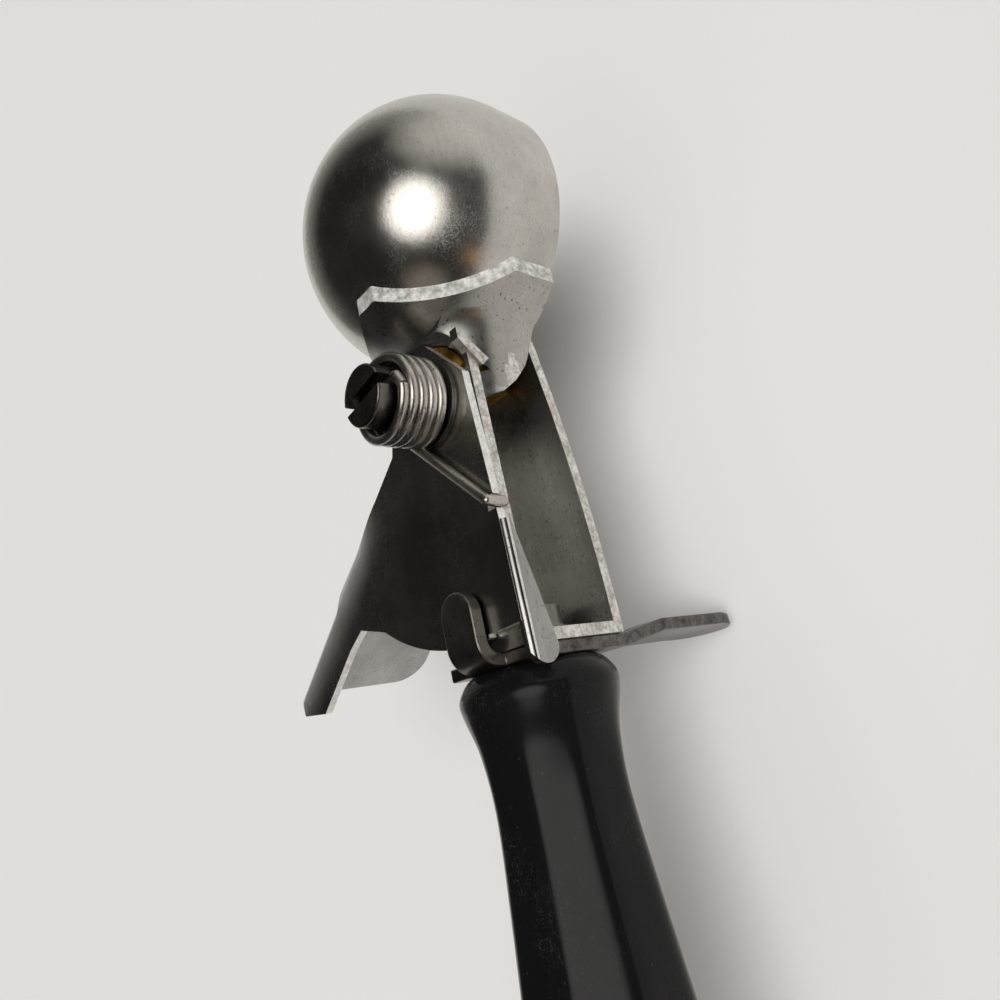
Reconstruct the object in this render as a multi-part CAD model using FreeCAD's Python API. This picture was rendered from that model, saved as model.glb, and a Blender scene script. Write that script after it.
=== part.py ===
import FreeCAD, Part
import math
import os

# Lever ice cream scoop, in millimetres.
# The origin is the centre of the bowl's sphere. +X runs along the handle, +Z is the back
# of the bowl, the bowl's mouth faces -Z, and the shank's open side faces +Y.

V = FreeCAD.Vector
X_AXIS = V(1, 0, 0)
Y_AXIS = V(0, 1, 0)
Z_AXIS = V(0, 0, 1)

# Bowl
bowl_inner_r = 27.0
bowl_wall = 1.0
skirt_depth = 7.1

# Frame sheet and shank channel
sheet = 2.1
cup_horn_half = 2.5
cup_horn_drop = 8.3
cup_scallop_drop = 11.8
cup_side_drop = 8.9
cup_side_z = 3.0
cup_corner_r = 1.6
cup_rim_gap = 0.6
gear_wall_rise = 2.0
gear_wall_start = 126.0
gear_wall_end = 242.0
hood_thick = 1.1
rail_out = 0.7
shank_top_z = 10.4
shank_open_y = 11.6
shank_back_y = -9.5
shank_nose_drop = 6.6
shank_mid_length = 10.8
shank_mid_drop = 10.7
shank_length = 47.2
shank_end_drop = 12.5
shank_corner_r = 4.2

# Running fits
plate_gap = 0.3
turn_fit = 0.06
side_gap = 0.3

# Pivot stud and its nut
pivot_beyond_bowl = 11.2
stud_r = 5.65
stud_top_z = 26.4
stud_neck_r = 5.0
stud_shank_r = 3.6
slot_width = 2.2
slot_depth = 4.4
slot_angle = 98.0
nut_across = 9.4
nut_height = 3.2
washer_thick = 0.5
washer_r = 8.4

# Thumb lever
lever_thick = 1.6
lever_nose_r = 11.4
lever_nose_flat = 9.3
nose_flat_angle = 132.0
lever_arc_r = 44.8
lever_arc_start = -37.5
lever_arc_end = 5.2
lip_start = 26.8
lip_end = 51.0
lip_depth = 6.0
lip_round_r = 1.4
notch_width = 2.6
notch_depth = 1.5
tab_angle = -53.0
tab_inner_r = 53.0
tab_outer_r = 79.0
tab_out = 9.3
tab_depth = 32.5
tab_corner_r = 7.0
tab_bend_r = 4.5
arm_inner = 5.7
arm_end_slant = 8.5
arm_edge = [(4.9, -13.4), (10.6, -21.4), (15.4, -30.4), (17.6, -34.6)]

# Bevel gears: the sector turns with the lever, the pinion with the scraper
pinion_teeth = 7
sector_full_teeth = 30
sector_outer_r = 10.9
gear_face = 2.9
sector_first_space = 180.0
sector_end_margin = 4.5
behind_teeth = 2
ahead_teeth = 6
tooth_share = 0.40
addendum_share = 0.80
dedendum_share = 1.15
gear_room = 0.4
rivet_r = 0.9
rivet_first_angle = 164.0
rivet_second_angle = 194.0

# Scraper blade, its shaft and its front rivet
blade_gap = 0.8
blade_thick = 0.8
blade_width = 9.0
ear_r = 5.0
blade_rest_angle = 75.0
journal_r = 2.4
pin_r = 1.6
head_r = 2.6
head_thick = 1.0
bush_wall = 1.2
bush_flange_r = 4.6
bush_flange = 0.45
dome_r = 3.2
dome_height = 1.4
tail_r = 1.3
tail_block_before = 6.2
tail_block_thick = 2.6
tail_block_half = 3.2

# Return spring
wire_r = 0.975
coil_mean_r = 7.5
coil_full_turns = 4
coil_pitch = 2.02
leg_angle = 44.0
spring_entry_lead = 16.0
leg_length = 25.4
hook_drop = 3.2

# Finger guard
guard_thick = 2.4
guard_half = 11.2
guard_top_z = 9.9
guard_tip_z = -57.0
guard_tip_r = 8.6
guard_joggle = 2.2
guard_joggle_top = -14.0
guard_joggle_bottom = -28.0
tongue_half = 4.2
tongue_tip_reach = 35.8
tongue_gap = 0.5
tongue_bend_r = 2.4

# Handle and the tie rod through it
handle_length = 107.2
handle_facets = 8
facet_share = 0.955
rod_r = 2.4
rod_fit = 0.1
clamp_nut_r = 6.8
clamp_nut_height = 3.6
clamp_slots = 4
clamp_slot_width = 2.2
collar_r = 7.3
collar_thick = 1.2
end_nut_r = 4.2
end_nut_height = 4.0
end_recess_r = 5.0
end_recess_depth = 7.0
end_washer_thick = 1.0
insert_wall = 1.6
insert_length = 14.0

# Places that follow from the sizes above
bowl_outer_r = bowl_inner_r + bowl_wall
pivot_x = bowl_outer_r + pivot_beyond_bowl
shank_mid_x = pivot_x + shank_mid_length
shank_end_x = pivot_x + shank_length
lip_start_x = pivot_x + lip_start
lip_end_x = pivot_x + lip_end
tail_block_x = pivot_x - tail_block_before
tongue_tip_x = pivot_x + tongue_tip_reach
cup_outer_r = bowl_outer_r + sheet
flange_low_z = shank_top_z - sheet
plate_low_z = shank_top_z + plate_gap
plate_top_z = plate_low_z + lever_thick
sector_inner_r = sector_outer_r - gear_face
gear_ratio = sector_full_teeth / pinion_teeth
pinion_slope = 1.0 / gear_ratio
blade_outer_r = bowl_inner_r - blade_gap
blade_inner_r = blade_outer_r - blade_thick
guard_x = shank_end_x
handle_x = guard_x + guard_thick
handle_end_x = handle_x + handle_length
foot_x = shank_end_x - sheet
lip_inner_y = shank_open_y + plate_gap
coil_turns = coil_full_turns + (slot_angle - spring_entry_lead - leg_angle + 90.0) / 360.0
coil_low_z = plate_top_z + washer_thick + wire_r + 0.1
PIVOT = V(pivot_x, 0, 0)


def box(x0, x1, y0, y1, z0, z1):
    return Part.makeBox(x1 - x0, y1 - y0, z1 - z0, V(x0, y0, z0))


def rod_x(radius, x0, x1, y=0.0, z=0.0):
    return Part.makeCylinder(radius, x1 - x0, V(x0, y, z), X_AXIS)


def post_z(radius, z0, z1, x=pivot_x, y=0.0):
    return Part.makeCylinder(radius, z1 - z0, V(x, y, z0), Z_AXIS)


def ring_z(outer, inner, z0, z1):
    return post_z(outer, z0, z1).cut(post_z(inner, z0 - 1, z1 + 1))


def prism(points, direction):
    return Part.Face(Part.makePolygon(points + points[:1])).extrude(direction)


def polar(radius, angle, z=0.0):
    """A point at a radius and an angle in degrees about the lever's pivot."""
    turn = math.radians(angle)
    return V(pivot_x + radius * math.cos(turn), radius * math.sin(turn), z)


def wedge(radius, start, end, z0, z1):
    """A sector of a disc about the pivot, as thick as z0 to z1."""
    middle = 0.5 * (start + end)
    arc = Part.Arc(polar(radius, start, z0), polar(radius, middle, z0), polar(radius, end, z0))
    centre = V(pivot_x, 0, z0)
    sides = [Part.makeLine(centre, polar(radius, start, z0)), arc.toShape(),
             Part.makeLine(polar(radius, end, z0), centre)]
    return Part.Face(Part.Wire(sides)).extrude(V(0, 0, z1 - z0))


def loft(sections):
    wires = [Part.makePolygon(points + points[:1]) for points in sections]
    return Part.makeLoft(wires, True, True)


def bell(radius, low):
    """Half a ball on top of a straight cylinder that reaches down to low."""
    ball = Part.makeSphere(radius).common(box(-radius, radius, -radius, radius, 0, radius))
    return ball.fuse(post_z(radius, low, 0, 0.0)).removeSplitter()


def bowl():
    """Half a sphere with a short straight skirt, open at the mouth."""
    shell = bell(bowl_outer_r, -skirt_depth).cut(bell(bowl_inner_r, -skirt_depth - 1))
    shell = shell.cut(rod_x(journal_r + bush_wall, 20, 32))
    return shell.cut(rod_x(pin_r, -32, -20))


def shank_side(inset):
    """The shank's side outline, drawn inward by inset from its outer faces."""
    top = shank_top_z - inset
    nose = bowl_outer_r - 3.8
    start = V(nose, 0, inset - shank_nose_drop)
    middle = V(shank_mid_x, 0, inset - shank_mid_drop)
    end = V(shank_end_x, 0, inset - shank_end_drop)
    edges = [Part.Arc(start, middle, end).toShape(), Part.makeLine(end, V(shank_end_x, 0, top)),
             Part.makeLine(V(shank_end_x, 0, top), V(nose, 0, top)),
             Part.makeLine(V(nose, 0, top), start)]
    return Part.Face(Part.Wire(edges))


def shank_block(inset, back, front, corner_r):
    side = shank_side(inset)
    side.translate(V(0, back, 0))
    block = side.extrude(V(0, front - back, 0))
    long_edges = []
    for edge in block.Edges:
        at_back = abs(edge.BoundBox.YMax - back) < 0.01
        if at_back and edge.BoundBox.XLength > 20:
            long_edges.append(edge)
    return block.makeFillet(corner_r, long_edges)


def shank_hollow():
    """The space inside the channel, open at its front side and closed by its foot."""
    hollow = shank_block(sheet, shank_back_y + sheet, shank_open_y + 5, shank_corner_r - sheet)
    return hollow.common(box(0, foot_x, -40, 40, -40, 40))


def cup_blank():
    """The cup's trimmed outline seen along the handle, drawn out along X."""
    horn_z = cup_outer_r - cup_horn_drop
    side_y = cup_outer_r - cup_side_drop
    slant = (cup_outer_r - cup_scallop_drop) * math.sqrt(0.5)
    low = -skirt_depth - 1
    edges = [Part.makeLine(V(0, -cup_horn_half, horn_z), V(0, cup_horn_half, horn_z)),
             Part.makeLine(V(0, side_y, cup_side_z), V(0, side_y, low)),
             Part.makeLine(V(0, side_y, low), V(0, -side_y, low)),
             Part.makeLine(V(0, -side_y, low), V(0, -side_y, cup_side_z))]
    for side in (1, -1):
        scallop = Part.Arc(V(0, side * cup_horn_half, horn_z), V(0, side * slant, slant),
                           V(0, side * side_y, cup_side_z))
        edges.append(scallop.toShape())
    outline = Part.Wire(Part.__sortEdges__(edges))
    block = Part.Face(outline).extrude(V(cup_outer_r, 0, 0))
    block.translate(V(bowl_outer_r / 3, 0, 0))
    corners = []
    for edge in block.Edges:
        if edge.BoundBox.XLength > 1 and edge.BoundBox.ZMin > 0:
            corners.append(edge)
    return block.makeFillet(cup_corner_r, corners)


def cup():
    """The part of the frame that wraps the back of the bowl, with a scalloped front edge."""
    low = cup_rim_gap - skirt_depth
    shell = bell(cup_outer_r, low).cut(bell(bowl_outer_r, low - 1))
    return shell.common(cup_blank())


def hood_profile(inset):
    """Radius of the gear hood about the handle's axis at places beyond the bowl."""
    places = [(-3.4, 17.3), (-1.2, 14.8), (2.0, 13.2), (6.0, 12.3), (10.0, 11.7), (14.0, 11.3)]
    return [V(bowl_outer_r + x, 0, r - inset) for x, r in places]


def hood_form(inset):
    points = hood_profile(inset)
    curve = Part.BSplineCurve()
    curve.interpolate(points)
    first = V(points[0].x, 0, 0)
    last = V(points[-1].x, 0, 0)
    edges = [Part.makeLine(first, points[0]), curve.toShape(), Part.makeLine(points[-1], last),
             Part.makeLine(last, first)]
    return Part.Face(Part.Wire(edges)).revolve(V(0, 0, 0), X_AXIS, 360)


def gear_hood():
    """The rounded cheek that runs on from the cup and covers the gears on the open side."""
    top = flange_low_z + 0.2
    outline = [(-3.2, -7.0), (2.4, -6.4), (6.3, -3.9), (10.0, -0.4), (12.3, 2.7), (12.9, 5.0),
               (12.6, top), (3.0, top), (-0.6, top + 4.0), (-3.2, top + 4.0)]
    cheek = prism([V(bowl_outer_r + x, 0, z) for x, z in outline], V(0, 30, 0))
    return hood_form(0.0).cut(hood_form(hood_thick)).common(cheek)


def gear_rail():
    """The bright rail that slopes from the gear wall's peak down over the hood."""
    top = shank_top_z + gear_wall_rise
    start = pivot_x - sector_outer_r + gear_wall_rise
    outline = [V(start - 0.6, 0, top), V(start + 1.6, 0, top), V(start + 6.2, 0, top - 4.6),
               V(start + 4.6, 0, top - 6.4)]
    rail = prism(outline, V(0, shank_open_y + rail_out, 0))
    return rail.cut(box(0, pivot_x, -1, shank_open_y + rail_out - 1.9, 0, top + 1))


def gear_wall():
    """The frame's raised edge that runs round in front of the gear sector."""
    inner = sector_outer_r + gear_room
    ring = ring_z(inner + sheet, inner, 5.0, shank_top_z + gear_wall_rise)
    ring = ring.common(wedge(30, gear_wall_start, gear_wall_end, 0, 20))
    return ring.fuse(gear_rail()).cut(bell(bowl_outer_r, 0))


def beside_wall():
    """The corner of the flange outside the gear wall on the open side, which is trimmed off."""
    wall_r = sector_outer_r + gear_room + sheet
    corner = box(0, pivot_x, 2, 40, 2, 20)
    return corner.cut(post_z(wall_r, 0, 21)).cut(bell(bowl_outer_r, 0))


def sector_room():
    """The space the gear sector sweeps through as the lever swings."""
    outer = sector_outer_r + gear_room
    inner = sector_inner_r - gear_room
    start = first_tooth_angle() - sector_pitch() * (behind_teeth + ahead_teeth - 1)
    ring = ring_z(outer, inner, -4.2, plate_low_z + 1)
    return ring.common(wedge(30, start - 2 * sector_end_margin, gear_wall_end + 2, -10, 20))


def frame():
    shank = shank_block(0.0, shank_back_y, shank_open_y, shank_corner_r)
    shank = shank.cut(shank_hollow()).cut(beside_wall())
    body = shank.fuse(gear_hood()).cut(bell(bowl_outer_r, -2 * skirt_depth))
    body = cup().fuse(body).fuse(gear_wall())
    body = body.cut(sector_room())
    body = body.cut(rod_x(journal_r + bush_wall, 20, pivot_x - sector_inner_r + gear_room))
    body = body.cut(post_z(lever_nose_r + side_gap, shank_top_z, shank_top_z + 5))
    body = body.cut(post_z(stud_shank_r, 0, shank_top_z + 1))
    body = body.cut(rod_x(rod_r + rod_fit, foot_x - 1, shank_end_x + 1))
    return body.removeSplitter()


def lever():
    """The flat plate, its bent lip, its thumb tab and its hole for the stud."""
    low = plate_low_z
    up = V(0, 0, lever_thick)
    nose = post_z(lever_nose_r, low, plate_top_z)
    flat = box(-40, -lever_nose_flat, -lever_nose_r, lever_nose_r, low - 1, plate_top_z + 1)
    flat.rotate(V(0, 0, 0), Z_AXIS, nose_flat_angle - 180.0)
    flat.translate(PIVOT)
    right_foot = V(pivot_x + lever_arc_r - 1.0, lip_inner_y + 0.6, low)
    web = [V(pivot_x - 1, lip_inner_y - 0.6, low), V(lip_start_x, lip_inner_y + 0.6, low),
           right_foot, polar(lever_arc_r - 0.6, 4, low), V(pivot_x, 0, low)]
    plate = nose.fuse(wedge(lever_arc_r, lever_arc_start, lever_arc_end, low, plate_top_z))
    plate = plate.fuse(prism(web, up))
    arm = [V(pivot_x - 2, -lever_nose_r + 0.2, low)]
    arm += [V(pivot_x + x, y, low) for x, y in arm_edge]
    arm += [beside_tab(tab_inner_r - 3.0, -tab_out + 1.3, low),
            beside_tab(tab_inner_r + 1.0, -tab_out + tab_bend_r, low),
            beside_tab(tab_inner_r + 1.0, arm_inner, low),
            beside_tab(tab_inner_r - 5.0, arm_inner + 0.8, low),
            polar(lever_arc_r, lever_arc_start + 2, low), V(pivot_x + 12, 0, low)]
    plate = plate.fuse(prism(arm, up)).fuse(tab()).fuse(lip()).cut(flat)
    hook_x = spring_leg_points()[1].x
    notch = box(hook_x - notch_width / 2, hook_x + notch_width / 2,
                lip_inner_y - notch_depth, 40, low - 1, 40)
    plate = plate.cut(notch)
    plate = plate.cut(post_z(stud_neck_r + turn_fit, low - 1, plate_top_z + 1))
    for angle in rivet_angles():
        spot = polar(rivet_circle_r(), angle)
        plate = plate.cut(post_z(rivet_r, low - 1, plate_top_z + 1, spot.x, spot.y))
    return plate.removeSplitter()


def beside_tab(along, inward, z=0.0):
    """A point at a distance along the tab's line from the pivot and inward from that line."""
    turn = math.radians(tab_angle)
    ray = V(math.cos(turn), math.sin(turn), 0)
    side = V(-math.sin(turn), math.cos(turn), 0)
    return PIVOT.add(ray * along).add(side * inward).add(V(0, 0, z))


def tab():
    """The thumb tab: it bends down from a strip of the plate that runs out from the pivot."""
    top = plate_top_z
    low = top - tab_depth
    inner_r = tab_bend_r - lever_thick
    slant = math.sqrt(0.5)

    arm_width = arm_inner + tab_out

    def spot(inward, z):
        return beside_tab(tab_inner_r, inward - tab_out, z)
    outer_arc = Part.Arc(spot(0, top - tab_bend_r),
                         spot(tab_bend_r * (1 - slant), top - tab_bend_r * (1 - slant)),
                         spot(tab_bend_r, top))
    inner_arc = Part.Arc(spot(tab_bend_r, plate_low_z),
                         spot(tab_bend_r - inner_r * slant, top - tab_bend_r + inner_r * slant),
                         spot(lever_thick, top - tab_bend_r))
    edges = [Part.makeLine(spot(0, low), spot(0, top - tab_bend_r)), outer_arc.toShape(),
             Part.makeLine(spot(tab_bend_r, top), spot(arm_width, top)),
             Part.makeLine(spot(arm_width, top), spot(arm_width, plate_low_z)),
             Part.makeLine(spot(arm_width, plate_low_z), spot(tab_bend_r, plate_low_z)),
             inner_arc.toShape(),
             Part.makeLine(spot(lever_thick, top - tab_bend_r), spot(lever_thick, low)),
             Part.makeLine(spot(lever_thick, low), spot(0, low))]
    along = beside_tab(tab_outer_r, 0).sub(beside_tab(tab_inner_r, 0))
    bent = Part.Face(Part.Wire(edges)).extrude(along)
    corners = []
    for edge in bent.Edges:
        flat = edge.BoundBox.ZLength < 0.01 and abs(edge.BoundBox.ZMin - low) < 0.01
        if flat and abs(edge.Length - lever_thick) < 0.01:
            corners.append(edge)
    bent = bent.makeFillet(tab_corner_r, corners)
    trim = [beside_tab(tab_outer_r + 1.0, -2.0, 0), beside_tab(tab_outer_r + 1.0, arm_inner + 1, 0),
            beside_tab(tab_outer_r - arm_end_slant, arm_inner + 1, 0)]
    return bent.cut(prism(trim, V(0, 0, 2 * plate_top_z)))


def lip():
    """The strip bent down along the lever's inner edge, deeper towards its round end."""
    full_x = lip_end_x - lip_depth / 2
    top = plate_top_z
    low = top - lip_depth
    outline = [V(lip_start_x, lip_inner_y, top - lever_thick),
               V(lip_start_x + 12, lip_inner_y, top - lever_thick - 2.6), V(full_x, lip_inner_y, low)]
    arc = Part.Arc(V(full_x, lip_inner_y, low), V(lip_end_x, lip_inner_y, top - lip_depth / 2),
                   V(full_x, lip_inner_y, top))
    edges = [Part.makeLine(outline[0], outline[1]), Part.makeLine(outline[1], outline[2]),
             arc.toShape(), Part.makeLine(V(full_x, lip_inner_y, top), V(lip_start_x, lip_inner_y, top)),
             Part.makeLine(V(lip_start_x, lip_inner_y, top), outline[0])]
    strip = Part.Face(Part.Wire(edges)).extrude(V(0, lever_thick, 0))
    return strip.common(rounded_top())


def rounded_top():
    """A block whose top edge on the open side is round, as bent sheet is."""
    x0 = lip_start_x - lip_depth
    outer_y = lip_inner_y + lever_thick
    block = box(x0, lip_end_x + lip_depth, lip_inner_y - lip_depth, outer_y,
                plate_top_z - 2 * lip_depth, plate_top_z)
    along_top = []
    for edge in block.Edges:
        at_top = edge.BoundBox.ZMin > plate_top_z - 0.01
        if at_top and edge.BoundBox.YMin > outer_y - 0.01:
            along_top.append(edge)
    return block.makeFillet(lip_round_r, along_top)


def rivet_circle_r():
    return 0.5 * (sector_outer_r + sector_inner_r)


def rivet_angles():
    return (rivet_first_angle, rivet_second_angle)


def sector_pitch():
    return 360.0 / sector_full_teeth


def tooth_section(scale, half_root, half_tip, low, high, place):
    """Four corners of a tooth on one gear face, from its root to its tip."""
    corners = [(-half_root, low), (-half_tip, high), (half_tip, high), (half_root, low)]
    return [place(side * scale, rise * scale) for side, rise in corners]


def first_tooth_angle():
    return sector_first_space + sector_pitch() * (behind_teeth - 0.5)


def gear_sizes():
    """Tooth sizes at the sector's outer radius."""
    pitch_height = sector_outer_r * pinion_slope
    module = 2 * sector_outer_r / sector_full_teeth
    half_thick = 0.5 * tooth_share * math.pi * module
    return pitch_height, module, half_thick


def gear_sector():
    """A brass ring sector under the lever's nose, with bevel teeth that point down."""
    pitch_height, module, half_thick = gear_sizes()
    root_z = pitch_height + dedendum_share * module
    tip_z = pitch_height - addendum_share * module
    first = first_tooth_angle()
    count = behind_teeth + ahead_teeth
    last = first - sector_pitch() * (count - 1)
    rim = ring_z(sector_outer_r, sector_inner_r, 0, plate_low_z)
    rim = rim.common(wedge(30, last - sector_end_margin, first + sector_end_margin, 0, 20))
    body = rim.cut(cone_below(root_z))
    for step in range(count):
        body = body.fuse(sector_tooth(first - step * sector_pitch(), root_z, tip_z, half_thick))
    body = body.common(ring_z(sector_outer_r, sector_inner_r, 0, plate_low_z))
    for angle in rivet_angles():
        spot = polar(rivet_circle_r(), angle)
        body = body.cut(post_z(rivet_r, 4, plate_low_z + 1, spot.x, spot.y))
    return body.removeSplitter()


def cone_below(edge_z):
    """The space under a cone whose tip is at the pivot on the shaft's axis."""
    reach = 2.0
    profile = [V(pivot_x, 0, 0), V(pivot_x + reach * sector_outer_r, 0, reach * edge_z),
               V(pivot_x + reach * sector_outer_r, 0, -5), V(pivot_x, 0, -5)]
    return Part.Face(Part.makePolygon(profile + profile[:1])).revolve(PIVOT, Z_AXIS, 360)


def sector_tooth(angle, root_z, tip_z, half_thick):
    sink = 0.25
    sections = []
    for radius in (sector_inner_r - 0.3, sector_outer_r + 0.3):
        scale = radius / sector_outer_r

        def place(side, rise, radius=radius):
            point = V(pivot_x + radius, side, rise)
            return point
        sections.append(tooth_section(scale, half_thick * 1.35, half_thick * 0.55,
                                      root_z + sink, tip_z, place))
    tooth = loft(sections)
    tooth.rotate(PIVOT, Z_AXIS, angle)
    return tooth


def pinion_shaft():
    """The small brass pinion with its journal, its tail and the pin that carries the blade."""
    pitch_height, module, half_thick = gear_sizes()
    front_x = pivot_x - sector_outer_r
    back_x = pivot_x - sector_inner_r
    root = pitch_height - dedendum_share * module
    tip = pitch_height + addendum_share * module
    shrink = sector_inner_r / sector_outer_r
    core = Part.makeCone(root, root * shrink, gear_face, V(front_x, 0, 0), X_AXIS)
    for step in range(pinion_teeth):
        sections = []
        for place_x, scale in ((front_x, 1.0), (back_x, shrink)):
            def place(side, rise, place_x=place_x):
                return V(place_x, side, rise)
            sections.append(tooth_section(scale, half_thick * 1.25, half_thick * 0.5,
                                          root - 0.3, tip, place))
        tooth = loft(sections)
        tooth.rotate(V(0, 0, 0), X_AXIS, step * 360.0 / pinion_teeth)
        core = core.fuse(tooth)
    journal = rod_x(journal_r, blade_outer_r, front_x)
    pin = rod_x(pin_r, blade_inner_r - 0.2 - head_thick, blade_outer_r)
    head = rod_x(head_r, blade_inner_r - 0.2 - head_thick, blade_inner_r - 0.2)
    tail = rod_x(tail_r, back_x, tail_block_x + tail_block_thick + 0.6)
    shaft = core.fuse(journal).fuse(pin).fuse(head).fuse(tail)
    return shaft.removeSplitter()


def shaft_bush():
    """The flanged bush in the bowl's wall."""
    outer = journal_r + bush_wall
    sleeve = rod_x(outer, bowl_inner_r - bush_flange, bowl_outer_r + 0.05)
    flange = rod_x(bush_flange_r, bowl_inner_r - bush_flange, bowl_inner_r)
    flange = flange.common(Part.makeSphere(bowl_inner_r))
    bush = sleeve.fuse(flange).cut(rod_x(journal_r + turn_fit, 20, 32))
    return bush.removeSplitter()


def tail_bearing():
    """The post on the shank's lower flange that carries the shaft's tail."""
    half = tail_block_half
    x1 = tail_block_x + tail_block_thick
    block = box(tail_block_x, x1, -half, half, -shank_end_drop, 0)
    block = block.fuse(rod_x(half, tail_block_x, x1)).removeSplitter()
    block = block.common(shank_hollow())
    return block.cut(rod_x(tail_r + turn_fit, tail_block_x - 1, x1 + 1))


def scraper_blade():
    """The curved band that sweeps the inside of the bowl, with a round ear at each end."""
    shell = Part.makeSphere(blade_outer_r).cut(Part.makeSphere(blade_inner_r))
    band = shell.common(box(-40, 40, -blade_width / 2, blade_width / 2, 0, 40))
    ears = shell.common(rod_x(ear_r, -40, 40))
    blade = band.fuse(ears).cut(rod_x(pin_r, 20, 32))
    blade = blade.cut(rod_x(pin_r + turn_fit, -32, -20)).removeSplitter()
    blade.rotate(V(0, 0, 0), X_AXIS, -blade_rest_angle)
    return blade


def front_rivet():
    """The rivet through the bowl's front wall on which the blade's front ear turns."""
    inner_x = -(blade_inner_r - 0.4)
    dome_ball = (dome_r ** 2 + dome_height ** 2) / (2 * dome_height)
    face_x = -math.sqrt(bowl_outer_r ** 2 - dome_r ** 2)
    ball = Part.makeSphere(dome_ball, V(face_x - dome_height + dome_ball, 0, 0))
    outside = bell(bowl_outer_r, -skirt_depth)
    dome = ball.common(box(-40, face_x, -10, 10, -10, 10)).cut(outside)
    skirt = rod_x(dome_r, face_x - 0.01, -bowl_inner_r).cut(outside)
    shank = rod_x(pin_r, -bowl_outer_r - 0.3, inner_x)
    head = rod_x(head_r, inner_x, inner_x + head_thick)
    return dome.fuse(skirt).fuse(shank).fuse(head).removeSplitter()


def front_washer():
    shell = Part.makeSphere(bowl_inner_r).cut(Part.makeSphere(blade_outer_r + 0.3))
    washer = shell.common(rod_x(dome_r + 0.6, -40, 0))
    return washer.cut(rod_x(pin_r, -40, 0))


def pivot_stud():
    """The slotted stud: a neck in the lever and a shank through the frame."""
    neck_top = plate_top_z + washer_thick
    stud = post_z(stud_r, neck_top, stud_top_z)
    stud = stud.makeFillet(0.5, [e for e in stud.Edges if e.BoundBox.ZMin > stud_top_z - 0.01])
    stud = stud.fuse(post_z(stud_neck_r, shank_top_z, neck_top))
    stud = stud.fuse(post_z(stud_shank_r, flange_low_z - nut_height - 0.6, shank_top_z))
    slot = box(-20, 20, -slot_width / 2, slot_width / 2, stud_top_z - slot_depth, stud_top_z + 1)
    slot.rotate(V(0, 0, 0), Z_AXIS, slot_angle)
    slot.translate(PIVOT)
    return stud.cut(slot).removeSplitter()


def stud_nut():
    corner = nut_across / math.sqrt(3)
    points = [polar(corner, 30 + 60 * step, flange_low_z - nut_height) for step in range(6)]
    nut = prism(points, V(0, 0, nut_height))
    return nut.cut(post_z(stud_shank_r, 0, 20))


def spring_washer():
    return ring_z(washer_r, stud_neck_r + turn_fit, plate_top_z + 0.05, plate_top_z + washer_thick)


def sector_rivets():
    rivets = []
    for angle in rivet_angles():
        spot = polar(rivet_circle_r(), angle)
        rivets.append(post_z(rivet_r, 4.6, plate_top_z, spot.x, spot.y))
    return Part.makeCompound(rivets)


def wire_run(points):
    """Straight runs of round wire with rounded joints."""
    run = None
    for start, end in zip(points, points[1:]):
        along = end.sub(start)
        piece = Part.makeCylinder(wire_r, along.Length, start, along)
        piece = piece.fuse(Part.makeSphere(wire_r, end))
        run = piece if run is None else run.fuse(piece)
    return run


def spring_leg_points():
    """Where the lower leg leaves the coil, crosses the plate and hooks over its edge."""
    leave = math.radians(leg_angle - 90.0)
    start = V(pivot_x + coil_mean_r * math.cos(leave), coil_mean_r * math.sin(leave), coil_low_z)
    run = math.radians(leg_angle)
    end = start.add(V(leg_length * math.cos(run), leg_length * math.sin(run), 0))
    return [start, end, end.add(V(0.2, 0.4, -hook_drop))]


def return_spring():
    """The torsion spring: close coils, a leg to the lever and an inner end in the slot."""
    height = coil_turns * coil_pitch
    helix = Part.makeHelix(coil_pitch, height, coil_mean_r)
    helix.rotate(V(0, 0, 0), Z_AXIS, leg_angle - 90.0)
    helix.translate(V(pivot_x, 0, coil_low_z))
    leg = spring_leg_points()
    tangent = V(-math.cos(math.radians(leg_angle)), -math.sin(math.radians(leg_angle)), 0)
    circle = Part.Wire(Part.Circle(leg[0], tangent, wire_r).toShape())
    coil = Part.Wire(helix.Edges).makePipeShell([circle], True, True)
    entry_z = stud_top_z - slot_depth + wire_r + 0.1
    top = polar(coil_mean_r, slot_angle - spring_entry_lead, coil_low_z + height)
    inner = polar(stud_r + wire_r + 0.1, slot_angle, entry_z)
    entry = polar(wire_r, slot_angle, entry_z)
    spring = coil.fuse(wire_run(leg)).fuse(wire_run([top, inner, entry]))
    return spring.removeSplitter()


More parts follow.
